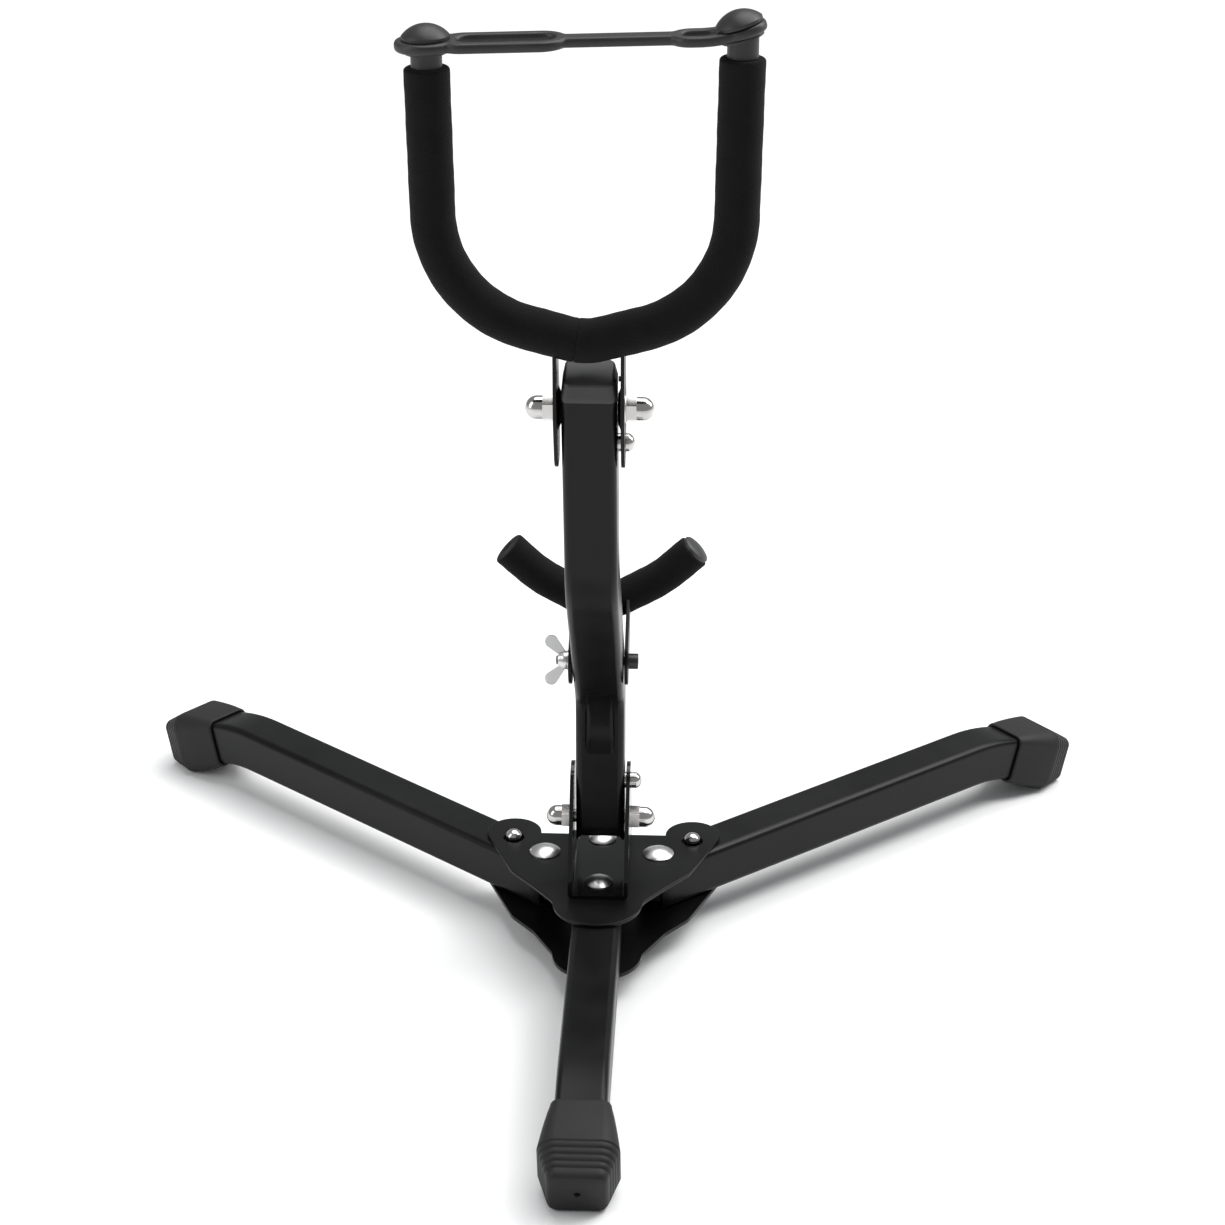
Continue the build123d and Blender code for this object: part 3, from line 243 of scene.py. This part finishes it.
# ---- paths and meshes ----
def fillet_path(corners, radii, step):
    """Points a step apart along runs and arcs through a list of corners, in the plane."""
    points = [Vector(corners[0])]
    for before, corner, after, radius in zip(corners, corners[1:], corners[2:], radii):
        corner = Vector(corner)
        back = (Vector(before) - corner).normalized()
        on = (Vector(after) - corner).normalized()
        half = back.angle(on) / 2
        start = corner + back * radius / tan(half)
        middle = corner + (back + on).normalized() * radius / sin(half)
        turn = pi - 2 * half
        spoke = start - middle
        way = 1 if back.x * on.y - back.y * on.x < 0 else -1
        count = max(4, ceil(radius * turn / step))
        run = start - points[-1]
        gaps = max(1, round(run.length / step))
        points += [points[-1] + run * i / gaps for i in range(1, gaps)]
        points += [middle + Matrix.Rotation(way * turn * i / count, 2) @ spoke for i in range(count + 1)]
    run = Vector(corners[-1]) - points[-1]
    gaps = max(1, round(run.length / step))
    points += [points[-1] + run * i / gaps for i in range(1, gaps + 1)]
    return points


def mesh_piece(name, build):
    """A new object from a function that fills a bmesh; smooth shaded, outward normals."""
    mesh = bpy.data.meshes.new(name)
    bm = bmesh.new()
    build(bm)
    bmesh.ops.recalc_face_normals(bm, faces=bm.faces)
    for face in bm.faces:
        face.smooth = True
    bm.to_mesh(mesh)
    bm.free()
    piece = bpy.data.objects.new(name, mesh)
    bpy.context.scene.collection.objects.link(piece)
    return piece


def bridge(bm, rings, closed):
    """Quads between rings of vertices; closed joins the last ring to the first one."""
    made = [[bm.verts.new(point) for point in ring] for ring in rings]
    pairs = list(zip(made, made[1:]))
    if closed:
        pairs.append((made[-1], made[0]))
    for one, other in pairs:
        for i in range(len(one)):
            j = (i + 1) % len(one)
            bm.faces.new((one[i], one[j], other[j], other[i]))
    return made


# ---- foam sleeves ----
def sleeve_ends(length, radius, bore, lip):
    """A sleeve's two rounded ends, as pairs of distance along it and radius."""
    start = [
        (lip * (1 - cos(pi / 2 * i / LIP_STEPS)), radius - lip * (1 - sin(pi / 2 * i / LIP_STEPS)))
        for i in range(LIP_STEPS + 1)
    ]
    start = [(0.0, bore), (0.0, (bore + radius - lip) / 2)] + start
    end = [(length - along, size) for along, size in reversed(start)]
    return start, end


def make_sleeve(name, points, y, radius, bore, lip, body, nodes, sealed=False):
    """A slightly uneven foam tube round a bent rod, in a plane of constant y."""
    lengths = [0.0]
    for one, other in zip(points, points[1:]):
        lengths.append(lengths[-1] + (other - one).length)
    total = lengths[-1]

    def spot(distance):
        distance = min(max(distance, 0.0), total)
        i = 0
        while i < len(lengths) - 2 and lengths[i + 1] < distance:
            i += 1
        part = (distance - lengths[i]) / (lengths[i + 1] - lengths[i])
        return points[i].lerp(points[i + 1], part)

    def centre_and_side(distance):
        along = (spot(distance + LOOK_AHEAD) - spot(distance - LOOK_AHEAD)).normalized()
        return spot(distance), Vector((-along.y, along.x))

    def build(bm):
        start, end = sleeve_ends(total, radius, bore, lip)
        if sealed:
            start = [(0.0, PINHOLE)] + start[1:]
        outer_count = ceil((total - 2 * lip) / SLEEVE_STEP)
        stations = list(start)
        for i in range(1, outer_count):
            stations.append((lip + (total - 2 * lip) * i / outer_count, radius))
        stations += end
        bore_start = CRADLE_SEAL if sealed else 0.0
        for i in range(1, BORE_STEPS + 1 if sealed else BORE_STEPS):
            stations.append((total - (total - bore_start) * i / BORE_STEPS, bore))
        if sealed:
            stations.append((bore_start, PINHOLE))
        rings = []
        for distance, size in stations:
            centre, side = centre_and_side(distance)
            ring = []
            for k in range(SLEEVE_SIDES):
                angle = 2 * pi * k / SLEEVE_SIDES
                reach = size
                if size > bore + 0.5:
                    waves = sum(
                        height * sin(distance * turns + lobes * angle)
                        for height, turns, lobes in FOAM_WAVES
                    )
                    reach += waves * size / radius
                flat = centre + side * reach * cos(angle)
                ring.append(Vector((flat.x, y + reach * sin(angle), flat.y)) * MM)
            rings.append(ring)
        bridge(bm, rings, True)

    sleeve = mesh_piece(name, build)
    paint(sleeve, SLOTS["foam"])
    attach(sleeve, body)
    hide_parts(*nodes)


def clip_path(points, x, left):
    """The part of a path on one side of an upright line, ending on it."""
    kept = [point for point in points if (point.x <= x) == left]
    order = kept if left else kept[::-1]
    beyond = [point for point in points if (point.x <= x) != left]
    nearest = min(beyond, key=lambda point: abs(point.x - x))
    last = order[-1]
    part = (x - last.x) / (nearest.x - last.x)
    order.append(last.lerp(nearest, part))
    return order


rise = YOKE_HALF * tan(YOKE_SLOPE)
yoke_corners = [
    (YOKE_X - YOKE_HALF - YOKE_SPLAY, FOAM_TOPS[0]),
    (YOKE_X - YOKE_HALF, YOKE_BOTTOM + rise),
    (YOKE_X, YOKE_BOTTOM),
    (YOKE_X + YOKE_HALF, YOKE_BOTTOM + rise),
    (YOKE_X + YOKE_HALF + YOKE_SPLAY, FOAM_TOPS[1]),
]
yoke_path = fillet_path(yoke_corners, YOKE_BENDS, PATH_STEP)
for side, left in (("left", True), ("right", False)):
    make_sleeve(
        f"foam_sleeve_yoke_{side}",
        clip_path(yoke_path, YOKE_X + SLEEVES_MEET + (SLEEVE_LAP if left else -SLEEVE_LAP), left),
        YOKE_Y, FOAM_RADIUS, FOAM_BORE, YOKE_LIP, "yoke", [f"yoke_foam_{side}"],
    )

cradle_corners = [
    (-CRADLE_TIP[0], CRADLE_TIP[1]),
    (-CRADLE_KNEE[0], CRADLE_KNEE[1]),
    (0, CRADLE_BOTTOM),
    CRADLE_KNEE,
    CRADLE_TIP,
]
cradle_path = fillet_path(cradle_corners, CRADLE_BENDS, PATH_STEP)
for side, left in (("left", True), ("right", False)):
    make_sleeve(
        f"foam_sleeve_cradle_{side}",
        clip_path(cradle_path, SLEEVE_LAP if left else -SLEEVE_LAP, left),
        CRADLE_Y, CRADLE_FOAM, CRADLE_BORE, CRADLE_LIP, "cradle", [f"cradle_foam_{side}"],
        sealed=left,
    )


# ---- rubber feet ----
def rounded_ring(plane, along, wide, tall, corner, count=16):
    """Points round a rounded rectangle across a foot's axis, cut off at the floor."""
    origin, across, over, out = plane
    ring = []
    for quarter in range(4):
        sx, sy = ((1, 1), (-1, 1), (-1, -1), (1, -1))[quarter]
        for i in range(count):
            angle = (quarter + (i + 0.5) / count) * pi / 2
            x = sx * (wide / 2 - corner) + corner * cos(angle)
            y = sy * (tall / 2 - corner) + corner * sin(angle)
            point = origin + (across * x + over * y + out * along) * MM
            ring.append(Vector((point.x, point.y, max(point.z, 0.0))))
    return ring


def foot_size(along):
    """A boot's width, height and corner at a distance from its mouth."""
    if along < FOOT_FLARE:
        start, end, part = FOOT_MOUTH, FOOT_WIDE, along / FOOT_FLARE
    else:
        start, end, part = FOOT_WIDE, FOOT_END, (along - FOOT_FLARE) / (FOOT_LENGTH - FOOT_FLARE)
    return [a + (b - a) * part for a, b in zip(start, end)]


def make_boot(name, plane, body, node):
    """A flared rubber boot: its socket, rolled mouth, ribbed toe and vent, as rings joined up."""

    def build(bm):
        rings = []

        def add(along, wide, tall, corner):
            rings.append(rounded_ring(plane, along, wide, tall, corner))

        def add_square(along, wide, corner):
            add(along, wide, wide, corner)

        depth = FOOT_SOCKET_DEPTH
        for along in (depth, depth - 1, *(1.2 + (depth - 3) * i / 8 for i in range(8, 0, -1))):
            add_square(along, FOOT_SOCKET, SOCKET_CORNER)
        add_square(0.7, FOOT_SOCKET + 0.1, SOCKET_CORNER)
        add_square(0.15, FOOT_SOCKET + 0.6, 3.2)
        add_square(0.0, (FOOT_SOCKET + FOOT_MOUTH[0]) / 2, 3.5)
        add_square(0.2, 24.6, 3.8)
        for along in MOUTH_STATIONS:
            add(along, *foot_size(along))
        for along in FLARE_STATIONS:
            swell = FLARE_SWELL * sin(pi * along / FOOT_FLARE)
            wide, tall, corner = foot_size(along)
            add(along, wide + swell, tall + swell, corner)
        for rib in range(RIBS):
            start = FOOT_FLARE + rib * RIB_PITCH
            for past, inset in RIB_PROFILE:
                wide, tall, corner = foot_size(start + past)
                add(start + past, wide - inset, tall - inset, corner)
        for along, inset in TOE_PROFILE:
            wide, tall, corner = foot_size(along)
            add(along, wide - inset, tall - inset, corner - inset / 3)
        add(FOOT_LENGTH, 9, 8, 3.4)
        vent = 2 * FOOT_VENT
        add_square(FOOT_LENGTH, vent + 0.4, vent / 2 + 0.19)
        add_square(FOOT_LENGTH - 0.3, vent, vent / 2 - 0.01)
        add_square(FOOT_LENGTH - 3, vent, vent / 2 - 0.01)
        made = bridge(bm, rings, False)
        bm.faces.new(made[0])
        bm.faces.new(made[-1])

    boot = mesh_piece(name, build)
    paint(boot, SLOTS["foot_rubber"])
    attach(boot, body)
    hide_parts(node)


def leg_mouth(side):
    """Where a leg enters its boot: origin, across, over and out along the drooping leg."""
    turn = {"front": pi, "left": -SIDE_ANGLE, "right": SIDE_ANGLE}[side]
    flat = Vector((sin(turn), cos(turn), 0))
    pivot_x = {"front": 0.0, "left": -PIVOT[0], "right": PIVOT[0]}[side]
    reach = REACHES[side] - FOOT_LENGTH * cos(DROOP)
    height = LEG_Z - BEND_RADIUS * (1 - cos(DROOP))
    origin = Vector((pivot_x, PIVOT[1], height)) + flat * reach
    out = flat * cos(DROOP) - UP * sin(DROOP)
    across = UP.cross(flat)
    return origin * MM, across, out.cross(across), out


make_boot("boot_front", leg_mouth("front"), "base", "front_foot")
make_boot("boot_left", leg_mouth("left"), "left_leg", "left_foot")
make_boot("boot_right", leg_mouth("right"), "right_leg", "right_foot")


# ---- rubber strap ----
def blend_max(values, soft):
    """The largest of some widths, rounded off where two are equal."""
    top = max(values)
    total = sum(exp((value - top) / soft) for value in values)
    return top + soft * 0.5 * (total - 1)


def round_width(x, centre, radius):
    """A circle's half width at x, or less than nothing beside it."""
    return (radius**2 - (x - centre) ** 2) ** 0.5 if abs(x - centre) < radius else -9.0


def slot_width(x, start, end, wide):
    """A round-ended slot's half width at x."""
    radius = wide / 2
    middle = min(max(x, start + radius), end - radius)
    return round_width(x, middle, radius)


def slot_outline(start, end, wide):
    """Points round a slot with round ends."""
    radius = wide / 2
    points = []
    for middle, first in ((start + radius, pi / 2), (end - radius, -pi / 2)):
        for i in range(ARC_STEPS + 1):
            angle = first + pi * i / ARC_STEPS
            points.append((middle + radius * cos(angle), radius * sin(angle)))
    return points


def strap_outline(total):
    """The strap's edge: a wide ring, a long loop, a bar, a short loop and a small ring."""
    first = -STRAP_RINGS[0]
    last = total + STRAP_RINGS[1]
    loop_start = total - SHORT_LOOP
    upper = []
    for i in range(OUTLINE_STEPS + 1):
        x = first + (last - first) * (0.5 - 0.5 * cos(pi * i / OUTLINE_STEPS))
        widths = [
            round_width(x, 0, STRAP_RINGS[0]),
            slot_width(x, LOOP_START, LONG_LOOP, LONG_LOOP_WIDE),
            slot_width(x, loop_start, total + LOOP_PAST, SHORT_LOOP_WIDE),
            round_width(x, total, STRAP_RINGS[1]),
        ]
        if LONG_LOOP - BAR_PAST < x < loop_start + BAR_PAST:
            widths.append(BAR_WIDE / 2)
        upper.append((x, max(0.0, blend_max(widths, JOIN_SOFT))))
    lower = [(x, -width) for x, width in reversed(upper[1:-1])]
    return upper + lower


def ring_outline(centre, radius):
    """Points round a circle on the strap's middle line."""
    angles = [2 * pi * i / (2 * ARC_STEPS) for i in range(2 * ARC_STEPS)]
    return [(centre + radius * cos(angle), radius * sin(angle)) for angle in angles]


def flat_band(outlines):
    """A strap-thick mesh inside the first outline, with round edges and the others as holes."""
    curve = bpy.data.curves.new("strap_shape", "CURVE")
    curve.dimensions = "2D"
    curve.fill_mode = "BOTH"
    curve.bevel_depth = STRAP_EDGE
    curve.bevel_resolution = 4
    curve.offset = -STRAP_EDGE
    curve.extrude = STRAP_THICK / 2 - STRAP_EDGE
    for outline in outlines:
        spline = curve.splines.new("POLY")
        spline.points.add(len(outline) - 1)
        spline.use_cyclic_u = True
        for point, (x, y) in zip(spline.points, outline):
            point.co = (x, y, 0, 1)
    shape = bpy.data.objects.new("strap_shape", curve)
    bpy.context.scene.collection.objects.link(shape)
    remesh = shape.modifiers.new("even", "REMESH")
    remesh.mode = "VOXEL"
    remesh.voxel_size = STRAP_VOXEL
    remesh.use_smooth_shade = True
    depsgraph = bpy.context.evaluated_depsgraph_get()
    mesh = bpy.data.meshes.new_from_object(shape.evaluated_get(depsgraph))
    bpy.data.objects.remove(shape)
    bpy.data.curves.remove(curve)
    return mesh


def bend(x, z, run, turn):
    """A point of the flat strap, with the end past run tilted by turn in a smooth bend."""
    past = x - run
    if past <= -KINK_SPREAD:
        return x, z
    if past >= KINK_SPREAD:
        return run + (past * cos(turn) - z * sin(turn)), past * sin(turn) + z * cos(turn)
    angle = turn * ((past + KINK_SPREAD) / (2 * KINK_SPREAD))
    arc = 2 * KINK_SPREAD / turn
    return run - KINK_SPREAD + (arc - z) * sin(angle), z + (arc - z) * (1 - cos(angle))


def make_strap():
    """The strap between the yoke's plugs, flat on the left one and tilted with the right one."""
    left = Vector((YOKE_X - YOKE_HALF - YOKE_SPLAY, YOKE_Y, FOAM_TOPS[0] + FOAM_CLEAR + NECKS[0]))
    right = Vector((YOKE_X + YOKE_HALF + YOKE_SPLAY, YOKE_Y, FOAM_TOPS[1] + FOAM_CLEAR + NECKS[1]))
    kink = right - Vector((cos(HEAD_TILT), 0, sin(HEAD_TILT))) * STRAP_KINK
    run = (kink - left).length
    climb = atan2(kink.z - left.z, kink.x - left.x)
    total = run + STRAP_KINK
    loop_start = total - SHORT_LOOP
    outlines = [
        strap_outline(total),
        ring_outline(0, STRAP_HOLE),
        ring_outline(total, STRAP_HOLE),
        slot_outline(STRAP_HOLE + LOOP_WEB, LONG_LOOP - LOOP_BAND, LONG_LOOP_WIDE - 2 * LOOP_BAND),
        slot_outline(loop_start + LOOP_BAND, run, SHORT_LOOP_WIDE - 2 * LOOP_BAND),
    ]
    mesh = flat_band(outlines)
    lift = STRAP_LIFT + STRAP_THICK / 2
    for vertex in mesh.vertices:
        x, y, z = vertex.co
        along, up = bend(x, z, run, HEAD_TILT - climb)
        up += lift
        vertex.co = (
            left.x + along * cos(climb) - up * sin(climb),
            left.y + y,
            left.z + along * sin(climb) + up * cos(climb),
        )
        vertex.co *= MM
    mesh.name = "rubber_strap"
    strap = bpy.data.objects.new("rubber_strap", mesh)
    bpy.context.scene.collection.objects.link(strap)
    relax = strap.modifiers.new("relax", "SMOOTH")
    relax.factor = 0.5
    relax.iterations = 3
    paint(strap, SLOTS["strap_rubber"])
    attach(strap, "strap")
    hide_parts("strap")


make_strap()


# ---- carried-over CAD nodes: a material each, and rounded edges on sheet metal and hardware ----
ROUNDED = {
    "upper_plate": 0.45, "lower_plate": 0.4,
    "yoke_cheek_left": 0.35, "yoke_cheek_right": 0.35,
    "cradle_cheek_left": 0.35, "cradle_cheek_right": 0.35,
    "column_pivot_nuts": 0.3, "yoke_pivot_nuts": 0.3, "yoke_pivot_washers": 0.25,
    "wing_nut": 0.45, "cradle_bolt": 0.2, "yoke_plug_left": 0.45, "yoke_plug_right": 0.45,
    "column_cap": 0.3, "cradle_end_cap": 0.3,
}
for entry in frame["record"]["subparts"]:
    node = frame["nodes"][entry["node"]]
    finish = GLOSS_BLACK if entry["node"] == "column_bracket" else SLOTS[entry["material_slot"]]
    paint(node, finish)
    if entry["node"] in ROUNDED:
        weld = node.modifiers.new("weld", "WELD")
        weld.merge_threshold = WELD_GAP * MM
        edge = node.modifiers.new("edge", "BEVEL")
        edge.width = ROUNDED[entry["node"]] * MM
        edge.segments = EDGE_SEGMENTS
        edge.limit_method = "ANGLE"
        edge.angle_limit = EDGE_ANGLE
        even = node.modifiers.new("even", "WEIGHTED_NORMAL")
        even.mode = "FACE_AREA"
        even.weight = 100
        even.keep_sharp = False


# ---- floor, light and camera ----
def make_floor():
    def build(bm):
        bmesh.ops.create_grid(bm, x_segments=FLOOR_CELLS, y_segments=FLOOR_CELLS, size=FLOOR_HALF)

    floor = mesh_piece("studio_floor", build)
    floor.location.z = -FLOOR_DROP
    paint(floor, surface("floor_white", grey(0.88), grey(0.9), (0.7, 0.8), 2.0, 60, (0.02, 0.1)))


def add_lamp(name, lamp, direction, place=(0, 0, 0)):
    obj = bpy.data.objects.new(name, lamp)
    obj.location = place
    obj.rotation_euler = direction.to_track_quat("-Z", "Y").to_euler()
    bpy.context.scene.collection.objects.link(obj)


def add_softbox(name, place, power):
    lamp = bpy.data.lights.new(name, "AREA")
    lamp.shape = "RECTANGLE"
    lamp.size, lamp.size_y = SOFTBOX_SIZE
    lamp.energy = power
    add_lamp(name, lamp, Vector(LAMP_TARGET) - Vector(place), place)


def add_sun(name, direction, strength, angle):
    lamp = bpy.data.lights.new(name, "SUN")
    lamp.energy = strength
    lamp.angle = radians(angle)
    add_lamp(name, lamp, Vector(direction))


def make_camera():
    pitch, yaw, roll = map(radians, CAMERA_TURN)
    ahead = Vector((-sin(yaw) * cos(pitch), cos(yaw) * cos(pitch), -sin(pitch)))
    level = Vector((cos(yaw), sin(yaw), 0))
    over = level.cross(ahead)
    right = level * cos(roll) + over * sin(roll)
    up = over * cos(roll) - level * sin(roll)
    lens = bpy.data.cameras.new("camera")
    lens.sensor_width = CAMERA_SENSOR
    lens.lens = CAMERA_LENS
    lens.clip_end = 50
    camera = bpy.data.objects.new("camera", lens)
    turn = Matrix((right, up, -ahead)).transposed().to_4x4()
    camera.matrix_world = Matrix.Translation(Vector(CAMERA_PLACE) * MM) @ turn
    bpy.context.scene.collection.objects.link(camera)
    bpy.context.scene.camera = camera


def make_world(colour, strength):
    world = bpy.data.worlds.new("studio")
    bpy.context.scene.world = world
    world.use_nodes = True
    background = world.node_tree.nodes["Background"]
    background.inputs["Color"].default_value = (*colour, 1)
    background.inputs["Strength"].default_value = strength


make_floor()
make_world((0.96, 0.98, 1.0), 0.36)
add_sun("overhead", (-0.2, -0.3, -1), 2.7, 60)
add_softbox("softbox_right", (0.9, 0.3, 1.0), 9)
add_softbox("softbox_left", (-1.0, -0.4, 0.8), 5)
make_camera()
bpy.context.scene.view_settings.view_transform = "Standard"
